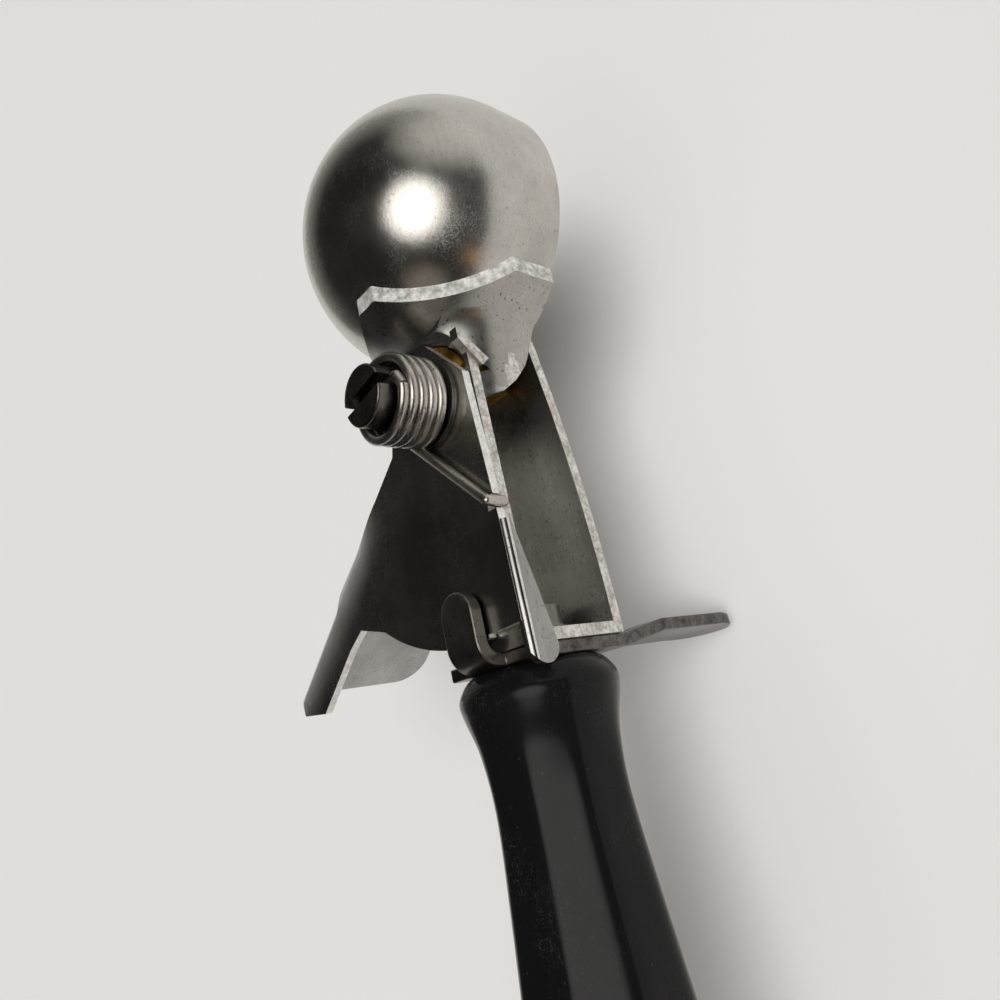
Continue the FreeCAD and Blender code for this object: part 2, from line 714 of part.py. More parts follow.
def finger_guard():
    """The guard plate: a long finger stop below, a tongue over the lever above."""
    x0 = guard_x
    x1 = guard_x + guard_thick
    tip_centre = guard_tip_z + guard_tip_r
    outline = [V(0, -guard_half, guard_top_z), V(0, guard_half, guard_top_z),
               V(0, guard_half, -9.0), V(0, guard_tip_r + 0.6, -22.0), V(0, guard_tip_r, tip_centre),
               V(0, -guard_tip_r, tip_centre), V(0, -guard_tip_r - 0.6, -22.0), V(0, -guard_half, -9.0)]
    face = Part.Face(Part.makePolygon(outline + outline[:1]))
    column = face.extrude(V(30, 0, 0))
    column.translate(V(x0 - 15, 0, 0))
    column = column.fuse(rod_x(guard_tip_r, x0 - 15, x0 + 15, 0, tip_centre))
    plate = column.common(guard_sheet())
    rise = plate_top_z + tongue_gap
    top = rise + guard_thick
    bend_out = tongue_bend_r + guard_thick
    upright = box(x0, x1, -tongue_half, tongue_half, guard_top_z - 2 * guard_thick, top - bend_out)
    bend = tongue_bend(x1, top, bend_out)
    flat = box(tongue_tip_x + tongue_half, x1 - bend_out, -tongue_half, tongue_half, rise, top)
    tip = post_z(tongue_half, rise, top, tongue_tip_x + tongue_half, 0)
    guard = plate.fuse(upright).fuse(bend).fuse(flat).fuse(tip)
    return guard.cut(rod_x(rod_r + rod_fit, x0 - 1, x1 + 1)).removeSplitter()


def tongue_bend(back_x, top_z, radius):
    """The curve between the guard's plate and its tongue."""
    centre = V(back_x - radius, -tongue_half, top_z - radius)
    outer = Part.makeCylinder(radius, 2 * tongue_half, centre, Y_AXIS)
    inner = Part.makeCylinder(radius - guard_thick, 2 * tongue_half + 2,
                              centre.sub(V(0, 1, 0)), Y_AXIS)
    quarter = box(centre.x, back_x, -tongue_half, tongue_half, centre.z, top_z)
    return outer.cut(inner).common(quarter)


def guard_sheet():
    """A sheet across the handle's axis that steps forward below the shank."""
    def line(offset):
        front = guard_x + offset
        return [(front, 30.0), (front, guard_joggle_top), (front - guard_joggle, guard_joggle_bottom),
                (front - guard_joggle, guard_tip_z + 8), (front - guard_joggle + 1.0, guard_tip_z - 5)]
    near = [V(x, -40, z) for x, z in line(0.0)]
    far = [V(x, -40, z) for x, z in line(guard_thick)]
    return prism(near + far[::-1], V(0, 80, 0))


def clamp_nut():
    """The slotted round nut in the bottom of the channel."""
    x0 = foot_x - collar_thick - clamp_nut_height
    x1 = foot_x - collar_thick
    nut = rod_x(clamp_nut_r, x0, x1)
    for step in range(clamp_slots // 2):
        slot = box(x0 - 1, x0 + 1.8, -20, 20, -clamp_slot_width / 2, clamp_slot_width / 2)
        slot.rotate(V(0, 0, 0), X_AXIS, 45 + 180.0 * step * 2 / clamp_slots)
        nut = nut.cut(slot)
    return nut.cut(rod_x(rod_r, x0 - 1, x1 + 1))


def clamp_collar():
    x1 = foot_x
    collar = rod_x(collar_r, x1 - collar_thick, x1)
    return collar.cut(rod_x(rod_r + rod_fit, x1 - 3, x1 + 1))


def tie_rod():
    x0 = foot_x - collar_thick - clamp_nut_height
    return rod_x(rod_r, x0, handle_end_x - end_recess_depth + end_washer_thick + end_nut_height + 0.6)


def handle_profile():
    """Radius of the grip at places along it: bead, waist, belly and tail."""
    return [(handle_x, 10.8), (handle_x + 1.6, 12.9), (handle_x + 4.0, 14.2), (handle_x + 7.0, 13.8),
            (handle_x + 13.0, 12.5), (handle_x + 23.0, 11.9), (handle_x + 38.0, 12.8),
            (handle_x + 56.0, 14.2), (handle_x + 76.0, 15.3), (handle_x + 92.0, 15.0),
            (handle_end_x - 5.0, 13.0), (handle_end_x - 1.2, 10.4), (handle_end_x, 8.2)]


def handle():
    """A turned grip with eight soft flats along it and a bore for the tie rod."""
    points = [V(x, 0, r) for x, r in handle_profile()]
    curve = Part.BSplineCurve()
    curve.interpolate(points)
    edges = [Part.makeLine(V(points[0].x, 0, 0), points[0]), curve.toShape(),
             Part.makeLine(points[-1], V(points[-1].x, 0, 0)),
             Part.makeLine(V(points[-1].x, 0, 0), V(points[0].x, 0, 0))]
    grip = Part.Face(Part.Wire(edges)).revolve(V(0, 0, 0), X_AXIS, 360)
    grip = Part.Solid(grip.Shells[0]) if grip.ShapeType != "Solid" else grip
    grip = grip.common(handle_flats())
    grip = grip.cut(rod_x(rod_r + rod_fit, handle_x - 1, handle_end_x + 1))
    grip = grip.cut(rod_x(end_recess_r, handle_end_x - end_recess_depth, handle_end_x + 1))
    insert_r = rod_r + insert_wall
    return grip.cut(rod_x(insert_r, handle_x - 1, handle_x + insert_length))


def handle_flats():
    """Eight flats that follow the grip's outline, a little inside its round form."""
    sections = []
    for x, radius in handle_profile():
        share = 1.06 if x < handle_x + 6 else facet_share
        reach = radius * share / math.cos(math.pi / handle_facets)
        points = []
        for step in range(handle_facets):
            turn = 2 * math.pi * (step + 0.5) / handle_facets
            points.append(V(x, reach * math.cos(turn), reach * math.sin(turn)))
        sections.append(points)
    return loft(sections)


def handle_insert():
    """The brass sleeve that lines the front of the grip's bore."""
    sleeve = rod_x(rod_r + insert_wall, handle_x, handle_x + insert_length)
    return sleeve.cut(rod_x(rod_r + rod_fit, handle_x - 1, handle_x + insert_length + 1))


def end_washer():
    x0 = handle_end_x - end_recess_depth
    washer = rod_x(end_recess_r - 0.2, x0, x0 + end_washer_thick)
    return washer.cut(rod_x(rod_r + rod_fit, x0 - 1, x0 + 5))


def end_nut():
    """A hexagon nut sunk in the grip's end."""
    x0 = handle_end_x - end_recess_depth + end_washer_thick
    points = []
    for step in range(6):
        turn = math.pi * step / 3
        points.append(V(x0, end_nut_r * math.cos(turn), end_nut_r * math.sin(turn)))
    nut = prism(points, V(end_nut_height, 0, 0))
    return nut.cut(rod_x(rod_r, x0 - 1, x0 + end_nut_height + 1))


PIECES = {
    "bowl": bowl,
    "shank_frame": frame,
    "thumb_lever": lever,
    "gear_sector": gear_sector,
    "sector_rivets": sector_rivets,
    "pivot_stud": pivot_stud,
    "stud_nut": stud_nut,
    "spring_washer": spring_washer,
    "return_spring": return_spring,
    "pinion_shaft": pinion_shaft,
    "shaft_bush": shaft_bush,
    "tail_bearing": tail_bearing,
    "scraper_blade": scraper_blade,
    "front_rivet": front_rivet,
    "front_washer": front_washer,
    "finger_guard": finger_guard,
    "clamp_collar": clamp_collar,
    "clamp_nut": clamp_nut,
    "tie_rod": tie_rod,
    "handle": handle,
    "handle_insert": handle_insert,
    "end_washer": end_washer,
    "end_nut": end_nut,
}


def main():
    os.makedirs("parts", exist_ok=True)
    for name, make in PIECES.items():
        shape = make()
        shape.exportStep(os.path.join("parts", name + ".step"))
        size = shape.BoundBox
        print(name, shape.isValid(), len(shape.Solids), round(shape.Volume, 2),
              [round(v, 2) for v in (size.XMin, size.YMin, size.ZMin, size.XMax, size.YMax, size.ZMax)])


main()
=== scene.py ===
import math

import bmesh
import bpy
from mathutils import Matrix, Vector


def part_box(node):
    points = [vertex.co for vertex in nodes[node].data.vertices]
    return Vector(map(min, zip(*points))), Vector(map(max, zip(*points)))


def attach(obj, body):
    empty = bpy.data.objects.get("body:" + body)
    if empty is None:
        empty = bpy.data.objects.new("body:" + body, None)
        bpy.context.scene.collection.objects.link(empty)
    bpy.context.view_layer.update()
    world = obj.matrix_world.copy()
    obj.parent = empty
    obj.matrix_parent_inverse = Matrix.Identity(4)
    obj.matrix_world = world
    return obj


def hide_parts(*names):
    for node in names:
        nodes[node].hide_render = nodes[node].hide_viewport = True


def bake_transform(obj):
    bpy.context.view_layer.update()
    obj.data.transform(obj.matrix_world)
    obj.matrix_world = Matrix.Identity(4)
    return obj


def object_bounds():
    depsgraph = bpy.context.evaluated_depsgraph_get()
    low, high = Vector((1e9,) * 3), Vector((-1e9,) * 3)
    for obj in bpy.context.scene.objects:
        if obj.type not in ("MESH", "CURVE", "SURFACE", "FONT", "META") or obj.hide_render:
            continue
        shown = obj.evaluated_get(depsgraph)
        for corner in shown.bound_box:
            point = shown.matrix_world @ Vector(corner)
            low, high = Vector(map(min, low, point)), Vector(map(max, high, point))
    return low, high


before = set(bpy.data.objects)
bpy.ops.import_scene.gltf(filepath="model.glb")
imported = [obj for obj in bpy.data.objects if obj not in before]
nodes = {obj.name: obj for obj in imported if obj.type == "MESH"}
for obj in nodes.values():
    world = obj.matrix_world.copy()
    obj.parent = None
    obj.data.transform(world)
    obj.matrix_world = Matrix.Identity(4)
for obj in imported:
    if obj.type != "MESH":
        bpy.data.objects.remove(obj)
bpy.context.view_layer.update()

# Lever ice cream scoop: finishes, rounded edges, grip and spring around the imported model.

MM = 0.001
collection = bpy.context.scene.collection

# Places in the model's frame
BOWL_OUTER = 28.0 * MM
PIVOT_X = 39.2 * MM
TAB_ANGLE = -53.0
ARM_START = 22.0 * MM
ARM_STEP = 2.5 * MM
ARM_CUTS = 9
ARM_FADE = 18.0 * MM
ROLL_START = 4.5 * MM
ROLL_STEP = 1.2 * MM
ROLL_CUTS = 12
ROLL_WIDTH = 13.8 * MM
ROLL_DROP = 3.2 * MM
CUT_SNAP = 0.01 * MM

# Where the sheet parts change finish, and how far a face there may lean
LEVER_PLATE_LOW = 11.0 * MM
LEVER_EDGE_LEAN = 0.35
BRAZE_WALL = (BOWL_OUTER + 0.3 * MM, BOWL_OUTER + 2.3 * MM)
BRAZE_X = (12.0 * MM, 26.5 * MM)
BRAZE_LEAN = 0.05
FLANGE_X = 33.0 * MM
FLANGE_Y = 11.2 * MM
FLANGE_FACING = 0.98
GUARD_TONGUE_LOW = 8.0 * MM
GUARD_EDGE_LEAN = 0.5

# Rounds and shading of the sheet parts
MERGE = 0.002 * MM
FLAT_ANGLE = 0.4
ROUND_ANGLE = 35.0
SHEET_SHARP = 40.0
TURNED_SHARP = 50.0
CAD_SHARP = 35.0

# The grip's outline as distance along it and radius, in millimetres
GRIP_PROFILE = [(0.0, 10.8), (0.6, 11.9), (1.6, 12.9), (4.0, 14.2), (7.0, 13.8), (13.0, 12.5),
                (23.0, 11.9), (38.0, 12.8), (56.0, 14.2), (76.0, 15.3), (92.0, 15.0),
                (102.2, 13.0), (106.0, 10.4)]
GRIP_END_R = 8.2 * MM
GRIP_INSERT_R = 4.0 * MM
GRIP_INSERT = 14.0 * MM
GRIP_BORE_R = 2.5 * MM
GRIP_RECESS_R = 5.0 * MM
GRIP_RECESS_DEPTH = 7.0 * MM
GRIP_ROWS = 120
GRIP_STEPS = 128
GRIP_FLATS = 8
GRIP_FLAT_SHARE = 0.955
GRIP_SOFT = 0.03
GRIP_ROW_POWER = 1.15
GRIP_BEAD = 7.0 * MM
GRIP_FADE_IN = 12.0 * MM
GRIP_FADE_OUT = 8.0 * MM

# Camera of the photograph, in the model's frame
CAMERA_PLACE = Vector((100.0, 101.9, 96.7)) * MM
CAMERA_BACK = Vector((0.289, 0.692, 0.662))
CAMERA_UP = Vector((-0.934, 0.355, 0.038))
SENSOR_MM = 36.0
LENS_MM = 28.02
CLIP_START = 0.005

# Light: directions as azimuth from +X towards +Y and elevation, in degrees
KEY_PLACE = (82, 57)
KEY_STRENGTH = 1.55
KEY_ANGLE = 34
FILL_PLACE = (20, 62)
FILL_STRENGTH = 0.6
FILL_ANGLE = 70
FLOOR_SIZE = 6.0
FLOOR_GAP = 0.2 * MM
FLOOR_COLOUR = (0.77, 0.76, 0.745, 1.0)
BACKDROP = (0.62, 0.62, 0.62)

# The room that the metal reflects: a pale wall low on one side, and round patches as place,
# inner and outer angle, and colour
ROOM_DARK = (0.026, 0.025, 0.024)
ROOM_PALE = (0.50, 0.485, 0.46)
WALL = ((-160, 0), 50, 88)
WALL_HEIGHT = (-0.10, 0.46)
PATCHES = [((142, 12), 12, 34, (0.66, 0.64, 0.60)), ((4, 28), 8, 22, (0.34, 0.31, 0.27)),
           (KEY_PLACE, 13, 27, (3.0, 2.95, 2.85)), ((44, 6), 2, 6, (0.9, 0.40, 0.06))]


def new_material(name):
    material = bpy.data.materials.new(name)
    material.use_nodes = True
    tree = material.node_tree
    shader = tree.nodes["Principled BSDF"]
    return material, tree, shader


def add(tree, kind, **values):
    node = tree.nodes.new(kind)
    for key, value in values.items():
        setattr(node, key, value)
    return node


def coordinates(tree, stretch=(1, 1, 1), turn=(0, 0, 0)):
    """Object coordinates in metres, stretched for grain and scratches."""
    source = add(tree, "ShaderNodeTexCoord")
    mapping = add(tree, "ShaderNodeMapping")
    mapping.inputs["Scale"].default_value = stretch
    mapping.inputs["Rotation"].default_value = turn
    tree.links.new(source.outputs["Object"], mapping.inputs["Vector"])
    return mapping.outputs["Vector"]


def noise(tree, vector, scale, detail=4.0, rough=0.55):
    node = add(tree, "ShaderNodeTexNoise")
    node.inputs["Scale"].default_value = scale
    node.inputs["Detail"].default_value = detail
    node.inputs["Roughness"].default_value = rough
    tree.links.new(vector, node.inputs["Vector"])
    return node.outputs["Fac"]


def ramp(tree, value, stops):
    node = add(tree, "ShaderNodeValToRGB")
    points = node.color_ramp.elements
    while len(points) < len(stops):
        points.new(0.5)
    for point, (place, colour) in zip(points, stops):
        point.position = place
        point.color = (*colour, 1.0)
    tree.links.new(value, node.inputs["Fac"])
    return node.outputs["Color"]


def remap(tree, value, low, high, from_low=0.0, from_high=1.0):
    node = add(tree, "ShaderNodeMapRange")
    node.inputs["From Min"].default_value = from_low
    node.inputs["From Max"].default_value = from_high
    node.inputs["To Min"].default_value = low
    node.inputs["To Max"].default_value = high
    tree.links.new(value, node.inputs["Value"])
    return node.outputs["Result"]


def math_node(tree, operation, first, second):
    node = add(tree, "ShaderNodeMath", operation=operation)
    for socket, value in zip(node.inputs, (first, second)):
        if isinstance(value, (int, float)):
            socket.default_value = value
        else:
            tree.links.new(value, socket)
    return node.outputs["Value"]


def mix_colour(tree, factor, first, second):
    node = add(tree, "ShaderNodeMix", data_type="RGBA")
    tree.links.new(factor, node.inputs["Factor"])
    for socket, value in ((node.inputs["A"], first), (node.inputs["B"], second)):
        if isinstance(value, tuple):
            socket.default_value = (*value, 1.0)
        else:
            tree.links.new(value, socket)
    return node.outputs["Result"]


def scratches(tree, stretch, turn, scale, threshold, soft):
    """Thin straight lines: the narrow band where a stretched noise crosses its middle."""
    vector = coordinates(tree, stretch, turn)
    value = noise(tree, vector, scale, detail=2.0, rough=0.5)
    offset = math_node(tree, "SUBTRACT", value, 0.5)
    distance = math_node(tree, "ABSOLUTE", offset, 0.0)
    return remap(tree, distance, 1.0, 0.0, threshold, threshold + soft)


def bump(tree, shader, height, strength, distance):
    node = add(tree, "ShaderNodeBump")
    node.inputs["Strength"].default_value = strength
    node.inputs["Distance"].default_value = distance
    tree.links.new(height, node.inputs["Height"])
    previous = shader.inputs["Normal"]
    if previous.is_linked:
        tree.links.new(previous.links[0].from_socket, node.inputs["Normal"])
    tree.links.new(node.outputs["Normal"], shader.inputs["Normal"])


def steel(name, light, dark, rough_low, rough_high, scratch=0.5, pits=0.0):
    """Stainless steel with cloudy tone, fine grain, crossing scratches and optional pits."""
    material, tree, shader = new_material(name)
    shader.inputs["Metallic"].default_value = 1.0
    plain = coordinates(tree)
    cloud = noise(tree, plain, 60.0, detail=5.0, rough=0.6)
    fine = noise(tree, plain, 900.0, detail=3.0, rough=0.6)
    grain = noise(tree, coordinates(tree, (12, 260, 260)), 9.0, detail=4.0, rough=0.7)
    tone = math_node(tree, "ADD", math_node(tree, "MULTIPLY", cloud, 0.7),
                     math_node(tree, "MULTIPLY", grain, 0.3))
    colour = ramp(tree, tone, [(0.36, dark), (0.62, light)])
    first = scratches(tree, (30, 500, 500), (0.3, 0.2, 0.7), 4.0, 0.002, 0.006)
    second = scratches(tree, (500, 40, 500), (0.9, 0.1, -0.4), 3.0, 0.0015, 0.005)
    lines = math_node(tree, "MAXIMUM", first, second)
    patches = remap(tree, noise(tree, plain, 130.0, detail=2.0), 0.0, 1.0, 0.42, 0.62)
    lines = math_node(tree, "MULTIPLY", lines, patches)
    shade = math_node(tree, "MULTIPLY", lines, 0.35 * scratch)
    bright = mix_colour(tree, shade, colour, tuple(min(1.0, c * 1.25) for c in light))
    if pits:
        spots = remap(tree, noise(tree, plain, 1500.0, detail=2.0), 1.0, 0.0, 0.30, 0.36)
        bright = mix_colour(tree, math_node(tree, "MULTIPLY", spots, pits), bright,
                            (0.03, 0.025, 0.02))
    tree.links.new(bright, shader.inputs["Base Color"])
    rough = math_node(tree, "ADD", remap(tree, cloud, rough_low, rough_high, 0.35, 0.65),
                      math_node(tree, "MULTIPLY", lines, 0.12 * scratch))
    tree.links.new(rough, shader.inputs["Roughness"])
    brushed = noise(tree, coordinates(tree, (1.0, 5.0, 5.0), (0.2, 0.4, 0.9)), 420.0, detail=3.0)
    bump(tree, shader, grain, 0.10, 0.02 * MM)
    bump(tree, shader, brushed, 0.16 + 0.10 * scratch, 0.03 * MM)
    bump(tree, shader, fine, 0.15, 0.01 * MM)
    bump(tree, shader, lines, 0.25 * scratch, -0.01 * MM)
    return material


def raw_edge(name, light, dark, grain_scale=1400.0, strength=0.9, metallic=0.25):
    """A sheared or brazed edge: bright, granular and uneven."""
    material, tree, shader = new_material(name)
    shader.inputs["Metallic"].default_value = metallic
    plain = coordinates(tree)
    grains = noise(tree, plain, grain_scale, detail=4.0, rough=0.75)
    lumps = noise(tree, plain, 420.0, detail=3.0)
    tone = math_node(tree, "ADD", math_node(tree, "MULTIPLY", grains, 0.6),
                     math_node(tree, "MULTIPLY", lumps, 0.4))
    tree.links.new(ramp(tree, tone, [(0.38, dark), (0.60, light)]), shader.inputs["Base Color"])
    tree.links.new(remap(tree, grains, 0.42, 0.62, 0.3, 0.7), shader.inputs["Roughness"])
    bump(tree, shader, lumps, strength, 0.10 * MM)
    bump(tree, shader, grains, strength, 0.05 * MM)
    return material


def brass(name):
    material, tree, shader = new_material(name)
    shader.inputs["Metallic"].default_value = 1.0
    plain = coordinates(tree)
    cloud = noise(tree, plain, 240.0, detail=5.0, rough=0.6)
    stain = noise(tree, plain, 700.0, detail=3.0)
    colour = ramp(tree, cloud, [(0.34, (0.30, 0.15, 0.03)), (0.50, (0.70, 0.42, 0.10)),
                                (0.66, (0.90, 0.66, 0.26))])
    tree.links.new(colour, shader.inputs["Base Color"])
    tree.links.new(remap(tree, stain, 0.28, 0.55, 0.3, 0.7), shader.inputs["Roughness"])
    bump(tree, shader, stain, 0.35, 0.03 * MM)
    return material


def grip_plastic(name):
    """Glossy black plastic with fine handling scratches and dust specks."""
    material, tree, shader = new_material(name)
    shader.inputs["Specular IOR Level"].default_value = 0.15
    plain = coordinates(tree)
    long_lines = scratches(tree, (60, 420, 420), (0.5, 0.1, 0.25), 3.0, 0.0012, 0.004)
    cross_lines = scratches(tree, (380, 90, 380), (0.1, 0.7, -0.5), 3.0, 0.0010, 0.004)
    lines = math_node(tree, "MAXIMUM", long_lines, cross_lines)
    worn = remap(tree, noise(tree, plain, 70.0, detail=3.0), 0.0, 1.0, 0.45, 0.65)
    lines = math_node(tree, "MULTIPLY", lines, worn)
    specks = remap(tree, noise(tree, plain, 1300.0, detail=1.0), 0.0, 1.0, 0.74, 0.78)
    marks = math_node(tree, "MAXIMUM", lines, math_node(tree, "MULTIPLY", specks, 0.5))
    colour = mix_colour(tree, math_node(tree, "MULTIPLY", marks, 0.30),
                        (0.006, 0.006, 0.0065), (0.14, 0.13, 0.12))
    tree.links.new(colour, shader.inputs["Base Color"])
    haze = noise(tree, plain, 90.0, detail=4.0)
    rough = math_node(tree, "ADD", remap(tree, haze, 0.10, 0.20, 0.35, 0.65),
                      math_node(tree, "MULTIPLY", marks, 0.25))
    tree.links.new(rough, shader.inputs["Roughness"])
    bump(tree, shader, lines, 0.30, -0.01 * MM)
    bump(tree, shader, noise(tree, plain, 220.0, detail=3.0), 0.12, 0.05 * MM)
    return material


def make_materials():
    return {
        "bowl": steel("bowl_satin", (0.63, 0.61, 0.575), (0.42, 0.40, 0.37), 0.18, 0.27,
                      scratch=1.2, pits=0.3),
        "frame": steel("frame_satin", (0.54, 0.52, 0.49), (0.34, 0.325, 0.30), 0.26, 0.38,
                       scratch=0.8, pits=0.7),
        # Channel: the frame's steel again, painted lighter than the cup on the same sheet; the
        # lighter tone is painted light.
        "channel": steel("channel_satin_painted_light", (0.70, 0.69, 0.67), (0.46, 0.45, 0.43), 0.24, 0.34,
                         scratch=0.8, pits=0.5),
        "edge": raw_edge("sheared_edge", (0.84, 0.82, 0.78), (0.34, 0.32, 0.295), metallic=0.7),
        "braze": raw_edge("brazed_edge", (0.88, 0.87, 0.84), (0.32, 0.31, 0.29), 900.0, 1.0,
                          metallic=0.5),
        "lever": steel("lever_polish", (0.50, 0.49, 0.47), (0.30, 0.29, 0.28), 0.17, 0.26,
                       scratch=1.0, pits=0.4),
        # Lever's sheared edge: real granular grain, and a near-white tone that is partly a painted
        # highlight standing in for light on the rolled edge.
        "lever_edge_painted_highlight": raw_edge("lever_edge_painted_highlight", (1.0, 0.99, 0.97), (0.68, 0.66, 0.63), 1700.0, 0.4,
                               metallic=0.85),
        "stud": steel("stud_dark", (0.26, 0.25, 0.235), (0.09, 0.085, 0.08), 0.24, 0.40,
                      pits=0.6),
        "wire": steel("spring_wire", (0.66, 0.63, 0.59), (0.36, 0.335, 0.30), 0.24, 0.36,
                      pits=0.7),
        "guard": steel("guard_sheet", (0.30, 0.28, 0.26), (0.12, 0.11, 0.10), 0.28, 0.46,
                       pits=0.8),
        "guard_edge": raw_edge("guard_edge", (0.19, 0.175, 0.16), (0.04, 0.037, 0.034), 800.0, 1.0,
                               metallic=0.8),
        "blade": steel("blade_satin", (0.70, 0.68, 0.65), (0.52, 0.50, 0.47), 0.25, 0.36),
        "brass": brass("gear_brass"),
        "grip": grip_plastic("grip_black"),
    }


def piece_from(name, source, node, body):
    """A piece that stands for a CAD node and rides on the node's body."""
    obj = bpy.data.objects.new(name, source)
    collection.objects.link(obj)
    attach(obj, body)
    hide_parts(node)
    return obj


def smooth(mesh, angle_deg):
    """Smooth faces with sharp edges where two faces meet at more than the angle."""
    limit = math.radians(angle_deg)
    work = bmesh.new()
    work.from_mesh(mesh)
    for face in work.faces:
        face.smooth = True
    for edge in work.edges:
        turn = edge.calc_face_angle(0.0) if len(edge.link_faces) == 2 else 0.0
        edge.smooth = turn < limit
    work.to_mesh(mesh)
    work.free()


def rounded_copy(node, name, body, materials, choose, width, shape=None):
    """A copy of a CAD node with small rounds on its sharp edges; choose picks a material."""
    mesh = nodes[node].data.copy()
    mesh.name = name
    mesh.materials.clear()
    for material in materials:
        mesh.materials.append(material)
    work = bmesh.new()
    work.from_mesh(mesh)
    bmesh.ops.remove_doubles(work, verts=work.verts, dist=MERGE)
    bmesh.ops.dissolve_limit(work, angle_limit=math.radians(FLAT_ANGLE), verts=work.verts,
                             edges=work.edges)
    work.normal_update()
    for face in work.faces:
        face.material_index = choose(face.calc_center_median(), face.normal)
    work.to_mesh(mesh)
    work.free()
    if shape:
        shape(mesh)
    obj = piece_from(name, mesh, node, body)
    rounds = obj.modifiers.new("rounds", "BEVEL")
    rounds.width = width
    rounds.segments = 2
    rounds.limit_method = "ANGLE"
    rounds.angle_limit = math.radians(ROUND_ANGLE)
    smooth(obj.data, SHEET_SHARP)
    weighted = obj.modifiers.new("weighted", "WEIGHTED_NORMAL")
    weighted.keep_sharp = True
    weighted.mode = "FACE_AREA"
    weighted.weight = 100
    evaluated = obj.evaluated_get(bpy.context.evaluated_depsgraph_get())
    baked = bpy.data.meshes.new_from_object(evaluated)
    obj.modifiers.clear()
    obj.data = baked


def profile_radius(points, place):
    """Radius at a place along the grip, by a smooth curve through its named points."""
    for index in range(len(points) - 1):
        x0, r0 = points[index]
        x1, r1 = points[index + 1]
        if place <= x1 or index == len(points) - 2:
            before = points[max(index - 1, 0)]
            after = points[min(index + 2, len(points) - 1)]
            slope0 = (r1 - before[1]) / (x1 - before[0])
            slope1 = (after[1] - r0) / (after[0] - x0)
            t = (place - x0) / (x1 - x0)
            width = x1 - x0
            return ((2 * t ** 3 - 3 * t ** 2 + 1) * r0 + (t ** 3 - 2 * t ** 2 + t) * width * slope0
                    + (3 * t ** 2 - 2 * t ** 3) * r1 + (t ** 3 - t ** 2) * width * slope1)


def flat_share(turn):
    """How far in a soft flat lies, as a share of the grip's round radius."""
    step = 2 * math.pi / GRIP_FLATS
    off = (turn + step / 2) % step - step / 2
    flat = GRIP_FLAT_SHARE / math.cos(off)
    overlap = max(GRIP_SOFT - abs(1.0 - flat), 0.0) / GRIP_SOFT
    return min(1.0, flat) - overlap * overlap * GRIP_SOFT / 4


def make_grip(material):
    """The glossy grip: a turned bead, then eight soft flats that fade in and out."""
    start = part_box("handle")[0].x
    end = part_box("handle")[1].x
    length = end - start
    points = [(start + x * MM, r * MM) for x, r in GRIP_PROFILE] + [(end, GRIP_END_R)]
    rows = [(start, GRIP_INSERT_R, 0.0)]
    for step in range(GRIP_ROWS + 1):
        place = start + length * (step / GRIP_ROWS) ** GRIP_ROW_POWER
        ramp_in = min(1.0, max(0.0, (place - start - GRIP_BEAD) / GRIP_FADE_IN))
        ramp_out = min(1.0, max(0.0, (end - place) / GRIP_FADE_OUT))
        rows.append((place, profile_radius(points, place), ramp_in * ramp_out))
    rows += [(end, GRIP_RECESS_R, 0.0), (end - GRIP_RECESS_DEPTH, GRIP_RECESS_R, 0.0),
             (end - GRIP_RECESS_DEPTH, GRIP_BORE_R, 0.0), (start + GRIP_INSERT, GRIP_BORE_R, 0.0),
             (start + GRIP_INSERT, GRIP_INSERT_R, 0.0)]
    work = bmesh.new()
    rings = []
    for place, radius, flats in rows:
        ring = []
        for step in range(GRIP_STEPS):
            turn = 2 * math.pi * step / GRIP_STEPS
            share = 1.0 - flats * (1.0 - flat_share(turn))
            ring.append(work.verts.new((place, radius * share * math.cos(turn),
                                        radius * share * math.sin(turn))))
        rings.append(ring)
    for low, high in zip(rings, rings[1:] + rings[:1]):
        for step in range(GRIP_STEPS):
            following = (step + 1) % GRIP_STEPS
            work.faces.new((low[step], low[following], high[following], high[step]))
    bmesh.ops.recalc_face_normals(work, faces=work.faces)
    mesh = bpy.data.meshes.new("grip_turned")
    work.to_mesh(mesh)
    work.free()
    mesh.materials.append(material)
    smooth(mesh, TURNED_SHARP)
    piece_from("grip_turned", mesh, "handle", "frame")


def make_spring(material):
    """The spring's wire between the stud's slot and the lever: a smooth-shaded copy of the CAD
    spring that stays where it is.
    """
    mesh = nodes["return_spring"].data.copy()
    mesh.name = "spring_wire_wound"
    mesh.materials.clear()
    mesh.materials.append(material)
    smooth(mesh, TURNED_SHARP)
    obj = bpy.data.objects.new("spring_wire_wound", mesh)
    collection.objects.link(obj)
    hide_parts("return_spring")
    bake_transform(obj)


def assign(node, material):
    """Gives a CAD node its material and its smooth and sharp shading; no vertex moves."""
    data = nodes[node].data
    data.materials.clear()
    data.materials.append(material)
    smooth(data, CAD_SHARP)


def lever_choice(centre, normal):
    """0 the lever's polished faces, 1 the sheared edge around its flat plate, its near-white tone
    partly a painted highlight.
    """
    return 1 if abs(normal.z) < LEVER_EDGE_LEAN and centre.z > LEVER_PLATE_LOW else 0


def frame_choice(centre, normal):
    """0 cup, 1 sheared flange edge, 2 brazed front edge of the cup, 3 channel, a lighter copy of
    the cup's steel that is painted light.
    """
    on_wall = BRAZE_WALL[0] < centre.length < BRAZE_WALL[1]
    if on_wall and abs(normal.x) < BRAZE_LEAN and BRAZE_X[0] < centre.x < BRAZE_X[1]:
        return 2
    if centre.x > FLANGE_X and centre.y > FLANGE_Y and normal.y > FLANGE_FACING:
        return 1
    return 3 if centre.x > PIVOT_X else 0


def guard_choice(centre, normal):
    """0 the sheet's faces and the tongue, 1 the sheared outline of the plate."""
    return 1 if centre.z < GUARD_TONGUE_LOW and abs(normal.x) < GUARD_EDGE_LEAN else 0


